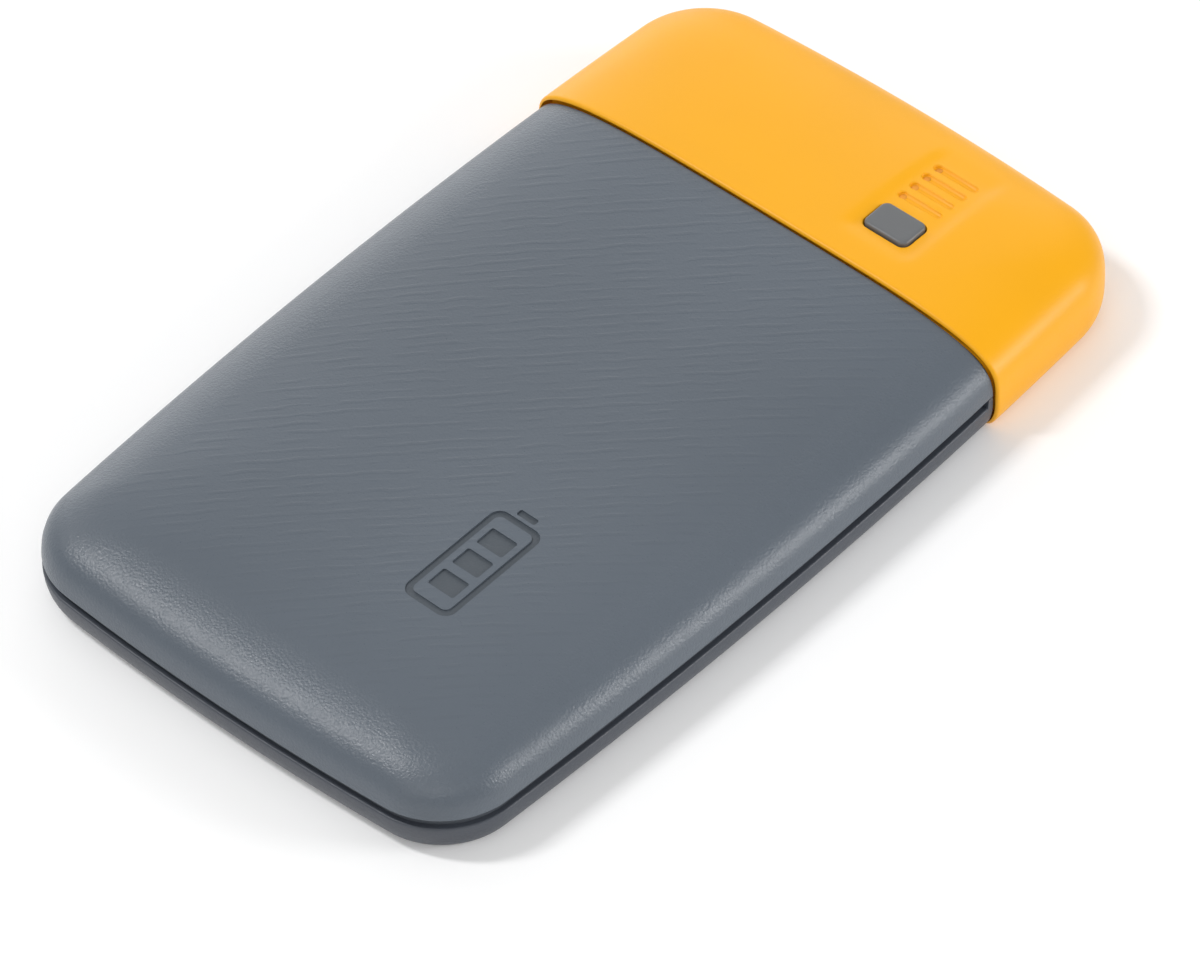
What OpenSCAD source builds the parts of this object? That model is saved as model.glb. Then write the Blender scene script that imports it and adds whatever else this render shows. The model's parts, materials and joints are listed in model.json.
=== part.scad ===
// Slim two-cell power bank: a bowed, domed grey body whose two covers close on a dark
// middle frame, and a proud orange end cap that carries the ports, the key and the lights.
// +X runs across, +Y along the body towards the cap, +Z up. The origin is at the bottom
// centre of the whole case.

/* [Case] */
// Whole length, cap included
case_len = 132; // [126:0.5:140]
// Width of the grey body at its middle
body_w = 77.5; // [74:0.5:84]
// Height of the grey body at its middle
body_h = 13.8; // [13.6:0.1:15]
// Plan radius of the body corners
corner_r = 11.4; // [9:0.1:14]
// How far each long side bows out at its middle
side_bow = 1.75; // [0.5:0.05:2.5]
// How far each short end bows out at its middle
end_bow = 1; // [0.4:0.05:2]
// Height of the domed part of the section
crown_h = 9; // [8:0.1:9.5]
// Squareness of the dome's section
crown_power = 3.76; // [3:0.02:5]
// Radius across the lower edge, measured inwards
foot_in = 2.3; // [1.5:0.1:3]
// Radius across the lower edge, measured upwards
foot_up = 4.7; // [3.5:0.1:4.7]
// Height of the lower lip of the waist groove
groove_low = 4.8; // [4.7:0.05:5]
// Height of the upper lip of the waist groove
groove_high = 6.15; // [6:0.05:6.4]
// Depth of the waist groove
groove_deep = 0.8; // [0.5:0.1:1]
// Wall of the two grey covers
cover_wall = 1.4; // [1.2:0.1:1.6]

/* [End cap] */
// Where the cap's edge crosses the body
seam_y = 35.2; // [34.8:0.1:35.6]
// How far the cap stands proud of the body
cap_proud = 0.6; // [0.3:0.1:0.8]
// Wall of the cap
cap_wall = 1.9; // [1.7:0.1:2]
// Gap between the cap's edge and the covers
seam_gap = 0.2; // [0.1:0.05:0.4]
// Length of the stop that closes the groove at the cap
groove_stop = 1.1; // [0.8:0.1:2]

/* [Key and lights] */
// Key, across the case
key_w = 7; // [6:0.1:8]
// Key, along the case
key_l = 4.85; // [4:0.05:5.5]
// Corner radius of the key
key_r = 1; // [0.5:0.1:1.5]
// Gap all round the key
key_gap = 0.25; // [0.2:0.05:0.35]
// Height of the key above the cap
key_proud = 0.35; // [0.25:0.05:0.6]
// Centre of the key, across
key_x = 14.05; // [12:0.05:16]
// Centre of the key, along
key_y = 44.2; // [43.5:0.1:44.6]
// Travel of the key and the switch
key_travel = 0.35; // [0.2:0.05:0.4]
// Number of light slots
slot_count = 4; // [3:1:4]
// Distance from slot to slot
slot_pitch = 2.35; // [2.2:0.05:2.4]
// Length of a light slot
slot_len = 6.8; // [5:0.1:7.5]
// Width of a light slot
slot_w = 1.05; // [0.8:0.05:1.2]
// Depth of a light slot
slot_deep = 0.5; // [0.3:0.05:0.7]
// Centre of the first slot, along
slot_y = 49.2; // [49:0.1:49.6]
// Diameter of the light hole at the end of a slot
light_hole_d = 1.1; // [0.9:0.1:1.2]

/* [Board and ports] */
// Underside of the circuit board
board_z = 8.5; // [8.4:0.05:8.6]
// Thickness of the circuit board
board_t = 1; // [0.8:0.1:1]
// Width of the circuit board
board_w = 62; // [58:0.5:63]
// Near edge of the circuit board
board_y = 37.9; // [37.6:0.1:38.2]
// Length of the circuit board
board_l = 21.5; // [20:0.1:22]
// Distance of each double-sided slot port from the middle
port_x = 19; // [18:0.1:19.4]
// Mouth plane of the ports
mouth_y = 64.3; // [63.8:0.1:64.5]

/* [Cells] */
// Width of a pouch cell
cell_w = 62; // [56:0.5:62]
// Length of a pouch cell's body
cell_l = 87; // [80:0.5:87]
// Thickness of a pouch cell
cell_t = 4.5; // [4:0.1:4.5]

/* [Hidden] */
$fn = 32;
eps = 0.01;

grey = [0.43, 0.46, 0.49];
dark_grey = [0.24, 0.26, 0.29];
orange = [0.99, 0.71, 0.20];

half_w = body_w / 2;
half_l = (case_len - cap_proud) / 2;
body_mid_y = -cap_proud / 2;
waist_z = body_h - crown_h;
side_r = pow(half_l - corner_r, 2) / (2 * side_bow);
end_r = pow(half_w - corner_r, 2) / (2 * end_bow);
min_corner_r = 3.5;
crown_in = half_w - 0.75;
crown_flat = 24;
crown_steps = 10;
foot_steps = 4;
corner_steps = 6;
fine_steps = 14;
far = 200;
cap_in = cap_wall - cap_proud;
groove_end_y = seam_y - seam_gap - groove_stop;
collar_t = 1;
collar_l = 2.6;

// ---- Plan outline: bowed sides and ends joined by round corners, moved in by `inset`.
// Where a side's bow and an end's bow meet, found by repeated correction.
function bow_corner(sx, sy, passes, x, y) =
    passes == 0 ? [x, y]
    : bow_corner(sx, sy, passes - 1, sx - y * y / (2 * side_r), sy - x * x / (2 * end_r));

function quarter(inset, steps) =
    let (
        rad = max(corner_r - inset, min_corner_r),
        sx = half_w - inset - rad,
        sy = half_l - inset - rad,
        c = bow_corner(sx, sy, 5, sx, sy),
        a1 = atan(c[1] / side_r),
        a2 = 90 - atan(c[0] / end_r)
    )
    concat(
        [for (i = [0:2]) let (y = c[1] * i / 3, a = atan(y / side_r))
            [sx - y * y / (2 * side_r) + rad * cos(a), y + rad * sin(a)]],
        [for (i = [0:steps]) let (a = a1 + (a2 - a1) * i / steps)
            [c[0] + rad * cos(a), c[1] + rad * sin(a)]],
        [for (i = [1:2]) let (x = c[0] * (1 - i / 3), a = 90 - atan(x / end_r))
            [x + rad * cos(a), sy - x * x / (2 * end_r) + rad * sin(a)]],
        [[0, sy + rad]]
    );

function outline(inset, steps) =
    let (q = quarter(inset, steps), n = len(q) - 1)
    [for (p = concat(
        q,
        [for (i = [n - 1:-1:0]) [-q[i][0], q[i][1]]],
        [for (i = [1:n]) [-q[i][0], -q[i][1]]],
        [for (i = [n - 1:-1:1]) [q[i][0], -q[i][1]]]
    )) [p[0], p[1] + body_mid_y]];

// ---- Section: a squarish dome above the waist and a quarter ellipse below it.
function crown_z(inset) =
    waist_z + crown_h * pow(1 - pow(1 - inset / crown_in, crown_power), 1 / crown_power);
function crown_inset(i) = crown_flat * pow(i / crown_steps, 2.6);
function foot_inset(i) = foot_in * (1 - sin(90 * i / foot_steps));
function foot_z(i) = foot_up * (1 - cos(90 * i / foot_steps));
// Height of the grey dome at a place on the case.
function dome_z(x, y) =
    let (side = half_w - abs(x), end = half_l - abs(y - body_mid_y))
    crown_z(min(crown_flat, side, end));

module plan(inset, steps = corner_steps) polygon(outline(inset, steps));
module slice(inset, z) translate([0, 0, z]) linear_extrude(eps) plan(inset);

// Solid under the dome, moved in by `inset` and down by `drop`, from the height `base` up.
module dome_solid(inset, drop, base) {
    hull() {
        slice(inset, base);
        slice(inset, waist_z - drop - eps);
    }
    for (i = [0:crown_steps - 1]) hull() {
        slice(inset + crown_inset(i), crown_z(crown_inset(i)) - drop - eps);
        slice(inset + crown_inset(i + 1), crown_z(crown_inset(i + 1)) - drop - eps);
    }
}

// Solid above the rounded lower edge, up to the height `top`.
module foot_solid(inset, top) {
    for (i = [0:foot_steps - 1]) hull() {
        slice(inset + foot_inset(i), foot_z(i));
        slice(inset + foot_inset(i + 1), foot_z(i + 1));
    }
    translate([0, 0, foot_up]) linear_extrude(top - foot_up) plan(inset);
}

// Hollow inside the lower part of the case, from its floor to the height `top`.
module foot_hollow(inset, floor_z, top) {
    ease = 1.5;
    hull() {
        slice(inset + ease, floor_z);
        slice(inset + ease / 3, floor_z + ease * 0.8);
        slice(inset, top - eps);
    }
}

module behind(y) translate([-far / 2, y - far, -far / 2]) cube(far);
module ahead(y) translate([-far / 2, y, -far / 2]) cube(far);
module above(z) translate([-far / 2, -far / 2, z]) cube(far);

module rounded(w, h, r) {
    square([w - 2 * r, h], center = true);
    square([w, h - 2 * r], center = true);
    for (x = [-1, 1], y = [-1, 1]) translate([x * (w / 2 - r), y * (h / 2 - r)]) circle(r);
}
module block(w, l, t, at) translate([at[0] - w / 2, at[1] - l / 2, at[2]]) cube([w, l, t]);

// ---- Covers and cap
// The top cover has a thin collar that reaches under the cap.
collar_in = cap_in + 0.2;
collar_z = groove_high + 1.2;

module top_cover() color(grey) {
    difference() {
        intersection() {
            dome_solid(0, 0, groove_high);
            behind(seam_y - seam_gap);
            above(groove_high);
        }
        intersection() {
            dome_solid(cover_wall, cover_wall, 0);
            behind(seam_y + 1);
        }
    }
    difference() {
        intersection() {
            union() {
                dome_solid(collar_in, collar_in, groove_high);
                intersection() {
                    dome_solid(cover_wall - 0.2, cover_wall - 0.2, groove_high);
                    behind(seam_y - seam_gap);
                }
            }
            behind(seam_y + collar_l);
            ahead(seam_y - 2 * collar_l);
            above(collar_z);
        }
        dome_solid(collar_in + collar_t, collar_in + collar_t, 0);
    }
}

module bottom_cover() color(dark_grey) difference() {
    intersection() {
        union() {
            foot_solid(0, groove_low);
            intersection() {
                foot_solid(0, groove_high);
                ahead(groove_end_y);
            }
        }
        behind(seam_y - seam_gap);
    }
    foot_hollow(cover_wall, cover_wall, groove_high + 1);
}

module light_slots() {
    for (i = [0:slot_count - 1]) {
        y = slot_y + i * slot_pitch;
        z = dome_z(key_x, y) + cap_proud - slot_deep;
        left = key_x - slot_len / 2 + slot_w / 2;
        translate([key_x, y, z]) linear_extrude(far) rounded(slot_len, slot_w, slot_w / 2 - eps);
        translate([left, y, z - cap_wall]) cylinder(d = light_hole_d, h = far);
    }
}

port_gap = 0.25;
usb_a_w = 13.15;
usb_a_h = 5.7;
usb_a_deep = 14;
usb_c_w = 8.94;
usb_c_h = 3.16;
usb_c_deep = 7.6;
shell_wall = 0.3;
usb_a_r = 0.6;
usb_c_r = 1.5;
usb_a_window_r = 0.8;
usb_c_window_r = 1.6;
module port_window(x, w, h, r) translate([x, far, board_z - h / 2]) rotate([90, 0, 0])
    linear_extrude(far - mouth_y + 2) rounded(w + 2 * port_gap, h + 2 * port_gap, r);
module port_windows() {
    for (x = [-port_x, port_x]) port_window(x, usb_a_w, usb_a_h, usb_a_window_r);
    port_window(0, usb_c_w, usb_c_h, usb_c_window_r);
}

module end_cap() color(orange) difference() {
    intersection() {
        union() {
            dome_solid(-cap_proud, -cap_proud, foot_up);
            foot_solid(-cap_proud, waist_z);
        }
        ahead(seam_y);
    }
    dome_solid(cap_in, cap_in, groove_low - 1);
    foot_hollow(cap_in, cover_wall, groove_low + 1);
    translate([key_x, key_y, body_h / 2]) linear_extrude(far)
        rounded(key_w + 2 * key_gap, key_l + 2 * key_gap, key_r + key_gap);
    light_slots();
    port_windows();
}

// ---- Middle frame: waist band, bay floor, bulkhead and board posts
frame_in = 1.9;
frame_out_in = 3.6;
frame_low = 3;
frame_high = 6.8;
skirt_out = 3;
skirt_in = 4.2;
bay_floor_z = cover_wall + 0.1;
bay_floor_t = 1;
bulkhead_y = seam_y + 0.3;
bulkhead_t = 1.2;
bulkhead_w = 64;
bulkhead_top = 8;
post_x = 28.5;
post_ys = [41.2, 53.7];
post_d = 4.6;
pilot_d = 1.6;
pilot_deep = 5;
lead_xs = [-20, -12];
lead_z = 6.9;
lead_d = 1.6;

module ring(outer, inner, low, high) translate([0, 0, low]) linear_extrude(high - low) difference() {
    plan(outer, fine_steps);
    plan(inner, fine_steps);
}
module at_posts() for (x = [-post_x, post_x], y = post_ys) translate([x, y, 0]) children();

module mid_frame() color([0.1, 0.11, 0.12]) difference() {
    union() {
        ring(frame_in, frame_out_in, frame_low, frame_high);
        ring(skirt_out, skirt_in, bay_floor_z, frame_low + 1);
        intersection() {
            ring(groove_deep, frame_in + 0.5, groove_low, groove_high);
            behind(groove_end_y);
        }
        intersection() {
            translate([0, 0, bay_floor_z]) linear_extrude(bay_floor_t) plan(skirt_out, fine_steps);
            ahead(bulkhead_y);
        }
        translate([-bulkhead_w / 2, bulkhead_y, bay_floor_z])
            cube([bulkhead_w, bulkhead_t, bulkhead_top - bay_floor_z]);
        at_posts() translate([0, 0, bay_floor_z]) cylinder(d = post_d, h = board_z - bay_floor_z);
    }
    at_posts() translate([0, 0, board_z - pilot_deep]) cylinder(d = pilot_d, h = pilot_deep + 1);
    for (x = [-port_x, port_x])
        block(usb_a_w + 2 * port_gap, 8, far, [x, mouth_y, board_z - usb_a_h - port_gap]);
    block(usb_c_w + 2 * port_gap, 8, far, [0, mouth_y, board_z - usb_c_h - port_gap]);
    for (x = lead_xs)
        block(lead_d + 0.6, 4 * bulkhead_t, far, [x, bulkhead_y, lead_z - lead_d / 2 - 0.2]);
}

// ---- Key, light pipe and lights
flange_w = 1;
flange_t = 0.5;
flange_z = 12 - flange_t;
stem_d = 3;
plunger_top = 11.2;
plunger_gap = 0.05;
key_top = dome_z(key_x, key_y) + cap_proud + key_proud;

module power_button() color([0.46, 0.47, 0.48]) translate([key_x, key_y, 0]) {
    translate([0, 0, flange_z]) linear_extrude(key_top - flange_z - 0.3) rounded(key_w, key_l, key_r);
    translate([0, 0, key_top - 0.3 - eps]) linear_extrude(0.3 + eps)
        rounded(key_w - 0.6, key_l - 0.6, key_r - 0.2);
    translate([0, 0, flange_z]) linear_extrude(flange_t)
        rounded(key_w + 2 * flange_w, key_l + 2 * flange_w, key_r);
    translate([0, 0, plunger_top + plunger_gap]) cylinder(d = stem_d, h = flange_z - plunger_top);
}

led_x = key_x - slot_len / 2 + slot_w / 2;
pipe_z = board_z + board_t + 0.75;
pipe_t = 0.75;
pin_d = light_hole_d - 0.2;
module light_pipe() color([0.9, 0.92, 0.95, 0.6]) {
    mid = slot_y + (slot_count - 1) * slot_pitch / 2;
    block(2.4, (slot_count - 1) * slot_pitch + 1.8, pipe_t, [led_x, mid, pipe_z]);
    for (i = [0:slot_count - 1]) {
        y = slot_y + i * slot_pitch;
        top = dome_z(key_x, y) + cap_proud - slot_deep - 0.3;
        translate([led_x, y, pipe_z]) cylinder(d = pin_d, h = top - pipe_z);
    }
}
module status_leds() color("white") for (i = [0:slot_count - 1])
    block(0.8, 1.6, 0.6, [led_x, slot_y + i * slot_pitch, board_z + board_t]);

// ---- Cells and what holds and joins them
cell_mid_y = -12.8;
cell_low_z = cover_wall + 0.2;
tape_t = 0.2;
tape_w = 40;
tape_l = 80;
foam_w = 44;
foam_t = 0.9;
cell_high_z = cell_low_z + cell_t + tape_t;
pouch_ease = 1.4;
pouch_r = 4;
seal_l = 3;
seal_t = 0.4;
cell_end_y = cell_mid_y + cell_l / 2;
tab_xs = [-20, -12];
tab_w = 6;
tab_t = 0.2;
tab_y = cell_end_y + seal_l;
tab_l = 0.8;
strip_t = 0.3;
strip_past = 0.6;
strip_y = tab_y + tab_l;
seal_top = cell_high_z + cell_t / 2 + seal_t / 2;
insulator = [30, seal_l - 0.6, 0.15];
thermistor_size = [3, 2, 0.6];
thermistor_x = 12;

module pouch(z) {
    translate([0, cell_mid_y, z]) hull() {
        linear_extrude(cell_t) rounded(cell_w - 2 * pouch_ease, cell_l - 2 * pouch_ease, pouch_r);
        translate([0, 0, pouch_ease]) linear_extrude(cell_t - 2 * pouch_ease)
            rounded(cell_w, cell_l, pouch_r);
    }
    block(cell_w - 4, seal_l + 1, seal_t, [0, cell_end_y + seal_l / 2 - 0.5, z + cell_t / 2 - seal_t / 2]);
}
module cell_lower() color("silver") pouch(cell_low_z);
module cell_upper() color("silver") pouch(cell_high_z);
module cell_tape(z) color("white") block(tape_w, tape_l, tape_t, [0, cell_mid_y, z]);
module cell_tape_lower() cell_tape(cover_wall);
module cell_tape_middle() cell_tape(cell_low_z + cell_t);
module foam_pad() color("dimgray") block(foam_w, tape_l, foam_t, [0, cell_mid_y, cell_high_z + cell_t]);
module cell_tabs() color("lightgray") for (x = tab_xs, z = [cell_low_z, cell_high_z])
    block(tab_w, tab_l, tab_t, [x, tab_y + tab_l / 2, z + cell_t / 2 - tab_t / 2]);
module tab_strip(x) color("lightgray")
    block(tab_w, strip_t, cell_high_z - cell_low_z + 2 * strip_past,
        [x, strip_y + strip_t / 2, cell_low_z + cell_t / 2 - strip_past]);
module tab_strip_positive() tab_strip(tab_xs[0]);
module tab_strip_negative() tab_strip(tab_xs[1]);
module tab_insulator() color("goldenrod")
    block(insulator[0], insulator[1], insulator[2],
        [(tab_xs[0] + tab_xs[1]) / 2, cell_end_y + seal_l / 2, seal_top]);

// A lead runs from its strip through the bulkhead and turns up to the board.
module lead(x) {
    start = strip_y + strip_t;
    turn = board_y + 2;
    translate([x, start, lead_z]) rotate([-90, 0, 0]) cylinder(d = lead_d, h = turn - start);
    translate([x, turn, lead_z]) sphere(d = lead_d);
    translate([x, turn, lead_z]) cylinder(d = lead_d, h = board_z - lead_z);
}
module lead_positive() color("red") lead(lead_xs[0]);
module lead_negative() color("black") lead(lead_xs[1]);
module thermistor() color("black")
    block(thermistor_size[0], thermistor_size[1], thermistor_size[2],
        [thermistor_x, cell_end_y + 2, seal_top]);

// ---- Board and what it carries
board_cut = 4;
screw_l = 4;
head_d = 3.6;
head_t = 0.8;
recess_w = 0.4;
screw_hole_d = 2.2;
board_top = board_z + board_t;
module main_board() color([0.05, 0.3, 0.15]) difference() {
    w = board_w / 2;
    far_y = board_y + board_l;
    translate([0, 0, board_z]) linear_extrude(board_t) polygon([
        [-w, board_y], [w, board_y], [w, far_y - board_cut], [w - board_cut, far_y],
        [board_cut - w, far_y], [-w, far_y - board_cut]
    ]);
    at_posts() translate([0, 0, board_z - 1]) cylinder(d = screw_hole_d, h = board_t + 2);
}
module board_screws() color("gainsboro") at_posts() difference() {
    union() {
        translate([0, 0, board_top]) cylinder(d = head_d, h = head_t);
        translate([0, 0, board_top - screw_l]) cylinder(d = pilot_d - 0.05, h = screw_l);
    }
    for (a = [0, 90]) translate([0, 0, board_top + head_t / 2]) rotate(a)
        translate([-1, -recess_w / 2, 0]) cube([2, recess_w, 1]);
}

module port_shell(w, h, r, deep) translate([0, mouth_y, board_z - h / 2]) rotate([90, 0, 0]) {
    difference() {
        linear_extrude(deep) rounded(w, h, r);
        translate([0, 0, -1]) linear_extrude(deep - shell_wall + 1)
            rounded(w - 2 * shell_wall, h - 2 * shell_wall, r - shell_wall);
    }
}
module usb_a_shell(x) color("silver") translate([x, 0, 0]) port_shell(usb_a_w, usb_a_h, usb_a_r, usb_a_deep);
module usb_a_shell_left() usb_a_shell(-port_x);
module usb_a_shell_right() usb_a_shell(port_x);

tongue_w = 11.1;
tongue_thick = 1.84;
tongue_top = board_z - shell_wall - 0.65;
usb_a_root = 3.5;
module usb_a_tongue(x) {
    back = mouth_y - usb_a_deep + shell_wall;
    block(usb_a_w - 2 * shell_wall - 0.1, usb_a_root, usb_a_h - 2 * shell_wall - 0.1,
        [x, back + usb_a_root / 2, board_z - usb_a_h + shell_wall + 0.05]);
    block(tongue_w, usb_a_deep - 1.4, tongue_thick,
        [x, back + (usb_a_deep - 1.4) / 2, tongue_top - tongue_thick]);
}
module usb_a_tongue_left() color("white") usb_a_tongue(-port_x);
module usb_a_tongue_right() color("white") usb_a_tongue(port_x);

usb_a_pads = [-3.5, -1, 1, 3.5];
module usb_a_contacts(x) for (p = usb_a_pads)
    block(1, 7.5, 0.2, [x + p, mouth_y - 6, tongue_top - tongue_thick - 0.2]);
module usb_a_contacts_left() color("gold") usb_a_contacts(-port_x);
module usb_a_contacts_right() color("gold") usb_a_contacts(port_x);

module usb_c_shell() color("silver") port_shell(usb_c_w, usb_c_h, usb_c_r, usb_c_deep);
usb_c_tongue_t = 0.7;
usb_c_mid_z = board_z - usb_c_h / 2;
module usb_c_tongue() color([0.12, 0.12, 0.12]) {
    back = mouth_y - usb_c_deep + shell_wall;
    translate([0, back + 1.5, usb_c_mid_z]) rotate([90, 0, 0]) linear_extrude(1.5)
        rounded(usb_c_w - 2 * shell_wall - 0.1, usb_c_h - 2 * shell_wall - 0.1, 1.1);
    block(6.69, usb_c_deep - 1.2, usb_c_tongue_t,
        [0, back + (usb_c_deep - 1.2) / 2, usb_c_mid_z - usb_c_tongue_t / 2]);
}
usb_c_pad_pitch = 0.5;
module usb_c_contacts() color("gold") for (i = [-5.5:5.5], side = [-1, 1])
    block(0.25, 3.6, 0.05,
        [i * usb_c_pad_pitch, mouth_y - 3, usb_c_mid_z - 0.025 + side * (usb_c_tongue_t / 2 + 0.025)]);

// Surface switch under the key: base, steel cover and the plunger that moves in it.
switch_w = 4.5;
switch_h = 1.3;
switch_cover_t = 0.2;
plunger_d = 2;
module switch_base() color([0.1, 0.1, 0.1]) difference() {
    block(switch_w, switch_w, switch_h - switch_cover_t, [key_x, key_y, board_top]);
    translate([key_x, key_y, board_top + 0.3]) cylinder(d = 3, h = switch_h);
}
module switch_cover() color("silver") difference() {
    block(switch_w - 0.4, switch_w, switch_cover_t, [key_x, key_y, board_top + switch_h - switch_cover_t]);
    translate([key_x, key_y, board_top]) cylinder(d = plunger_d + 0.4, h = 2 * switch_h);
}
module switch_plunger() color("black") translate([key_x, key_y, 0]) {
    low = board_top + 0.3 + key_travel + 0.1;
    translate([0, 0, low]) cylinder(d = plunger_d, h = plunger_top - low);
}

// Converter parts: the tall ones hang under the board, the flat ones sit on it.
inductor = [7.2, 7, 3.4];
controller = [6, 6, 0.9];
transistor = [3.3, 3.3, 0.9];
capacitor_d = 6.3;
capacitor_h = 5.4;
module power_inductor() color("dimgray")
    block(inductor[0], inductor[1], inductor[2], [-3, 43.5, board_z - inductor[2]]);
module charge_controller() color([0.08, 0.08, 0.09])
    block(controller[0], controller[1], controller[2], [-8, 46, board_top]);
module power_transistors() color([0.1, 0.1, 0.11]) for (x = [-20, -15], y = [43, 48])
    block(transistor[0], transistor[1], transistor[2], [x, y, board_top]);
module polymer_capacitors() color("silver") for (x = [6, 14, 22])
    translate([x, 43.2, board_z - capacitor_h]) cylinder(d = capacitor_d, h = capacitor_h);
module small_passives() color("tan") {
    for (i = [0:5]) block(1.25, 2, 0.6, [-2 + 2 * i, 40.2, board_top]);
    for (i = [0:4]) block(1, 0.5, 0.4, [0.5, 43.5 + 1.5 * i, board_top]);
    for (i = [0:3]) block(1.6, 0.8, 0.5, [-20 + 3 * i, 53.5, board_top]);
}

top_cover();
bottom_cover();
end_cap();
mid_frame();
power_button();
light_pipe();
cell_lower();
cell_upper();
cell_tape_lower();
cell_tape_middle();
foam_pad();
cell_tabs();
tab_strip_positive();
tab_strip_negative();
tab_insulator();
lead_positive();
lead_negative();
thermistor();
main_board();
board_screws();
usb_a_shell_left();
usb_a_shell_right();
usb_a_tongue_left();
usb_a_tongue_right();
usb_a_contacts_left();
usb_a_contacts_right();
usb_c_shell();
usb_c_tongue();
usb_c_contacts();
switch_base();
switch_cover();
switch_plunger();
status_leds();
power_inductor();
charge_controller();
power_transistors();
polymer_capacitors();
small_passives();
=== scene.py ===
# Looks of a slim two-cell power bank: two grey covers that close on a dark waist groove, and a
# proud orange end cap with a push key, four light slots and the ports. +Y runs towards the cap, +Z up.
import json
import math

import bmesh
import bpy
import numpy as np
from mathutils import Matrix, Vector


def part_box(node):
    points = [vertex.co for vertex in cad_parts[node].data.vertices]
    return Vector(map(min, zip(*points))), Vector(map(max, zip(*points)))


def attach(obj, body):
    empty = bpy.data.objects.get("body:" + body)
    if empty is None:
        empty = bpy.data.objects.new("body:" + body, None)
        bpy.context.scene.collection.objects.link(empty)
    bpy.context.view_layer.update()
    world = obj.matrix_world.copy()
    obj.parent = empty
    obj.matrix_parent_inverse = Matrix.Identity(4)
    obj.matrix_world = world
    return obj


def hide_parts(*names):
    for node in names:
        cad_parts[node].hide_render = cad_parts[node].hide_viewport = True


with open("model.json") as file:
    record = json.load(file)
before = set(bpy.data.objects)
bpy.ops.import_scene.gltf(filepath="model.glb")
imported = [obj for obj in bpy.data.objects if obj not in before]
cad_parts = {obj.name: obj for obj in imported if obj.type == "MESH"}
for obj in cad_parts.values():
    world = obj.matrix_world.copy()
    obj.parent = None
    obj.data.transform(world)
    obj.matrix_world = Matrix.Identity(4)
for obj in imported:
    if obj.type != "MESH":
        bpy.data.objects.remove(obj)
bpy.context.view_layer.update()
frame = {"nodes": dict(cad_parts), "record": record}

MM = 0.001


def box_mm(node):
    """Lowest and highest corners of a node, in millimetres."""
    lo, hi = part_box(node)
    return Vector(lo) / MM, Vector(hi) / MM


# ---------------------------------------------------------------- sizes, in millimetres
cover_lo, cover_hi = box_mm("top_cover")
cap_lo, cap_hi = box_mm("end_cap")
key_lo, key_hi = box_mm("power_button")
port_a_lo, port_a_hi = box_mm("usb_a_shell_right")
port_c_lo, port_c_hi = box_mm("usb_c_shell")

# Plan of the grey body: bowed sides and ends joined by round corners. The cap stands proud of it.
CAP_PROUD = 0.6
HALF_W = cover_hi.x
HALF_L = (cap_hi.y - cover_lo.y - CAP_PROUD) / 2
MID_Y = cover_lo.y + HALF_L
CORNER_R = 11.4
SIDE_BOW, END_BOW = 1.75, 1.0
# Further in, the corner radius grows again with the square of the inset, up to a share of the half width.
PILLOW, CORNER_SHARE = 0.085, 0.8

# Section: a squarish dome above the waist and a rounded lower edge below it.
WAIST_Z = 4.8
CROWN_H, CROWN_POWER = 9.0, 3.76
CROWN_IN = HALF_W - 0.75
PLATEAU_IN = 31.0
FOOT_IN, FOOT_UP = 2.3, 4.7
# Where the flat underside has its outlines, measured in from the rounded edge.
UNDER_STEPS = (0.6, 2, 5, 10, 16, 24)

# Waist groove, and the seam where the cap's edge crosses the body.
GROOVE_LOW, GROOVE_HIGH = 4.8, cover_lo.z
GROOVE_STOP, STOP_EASE, STOP_HAIRLINE = 1.1, 0.13, 0.03
LIP, LIP_FLAT, LIP_IN, LIP_CLEAR = 0.24, 0.12, 0.9, 0.1
SEAM, SEAM_GAP = cap_lo.y, 0.1
COVER_WALL, COVER_EDGE_R = 1.4, 0.3
CAP_WALL, CAP_EDGE_R = 1.9, 0.45

# Soft hollow in the cap that holds the key and the light slots.
DISH_X, DISH_Y = (8.2, 20.4), (39.2, 61.5)
DISH_DEEP, DISH_WALL = 0.42, 2.2

KEY_X = (key_lo.x + key_hi.x) / 2
KEY_Y = (key_lo.y + key_hi.y) / 2
KEY_W, KEY_L, KEY_R = 7.0, 4.85, 1.0
KEY_GAP, KEY_EASE = 0.2, 0.38
# The key sits this much lower than its CAD node, which has no hollow round it.
KEY_SINK = 0.3
FLANGE_Z, FLANGE_T = 11.5, 0.5

SLOT_COUNT, SLOT_PITCH, SLOT_Y = 4, 2.35, 49.2
SLOT_LEN, SLOT_W, SLOT_DEEP = 6.8, 1.05, 0.42
# Round bottom of a slot: (share of the depth, growth).
SLOT_ROUND = ((0.45, -0.02), (0.6, -0.07), (0.75, -0.14), (0.88, -0.24), (0.96, -0.35), (1.0, -0.48))
LIGHT_HOLE_D = 0.96
LIGHT_CUP_D, LIGHT_CUP_DEEP, LIGHT_CUP_EASE = 1.2, 0.34, 0.06
PORT_GAP, PORT_A_R, PORT_C_R = 0.25, 0.8, 1.7

# Battery sign sunk into the top cover.
MARK_X, MARK_Y = 12.6, -33.5
MARK_LONG, MARK_WIDE, MARK_LINE, MARK_R = 18.0, 7.8, 0.95, 1.7
NUB_LONG, NUB_WIDE, NUB_R, NUB_AHEAD = 1.0, 3.0, 0.3, 1.0
BAR_LONG, BAR_GAP, BAR_R, BAR_CLEAR = 3.1, 1.3, 0.35, 0.85
MARK_DEEP = 0.28

# Cutters start this high over a face, and the ones that go right through end this far below it.
CUT_ABOVE, CUT_THROUGH = 2.0, 4.0
# A corner radius shrinks by this share of the distance that its outline moves in.
CORNER_EASE = 0.8


# ---------------------------------------------------------------- the case's own surface
def side_curve():
    """Radius of a long side's bow."""
    return (HALF_L - CORNER_R) ** 2 / (2 * SIDE_BOW)


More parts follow.
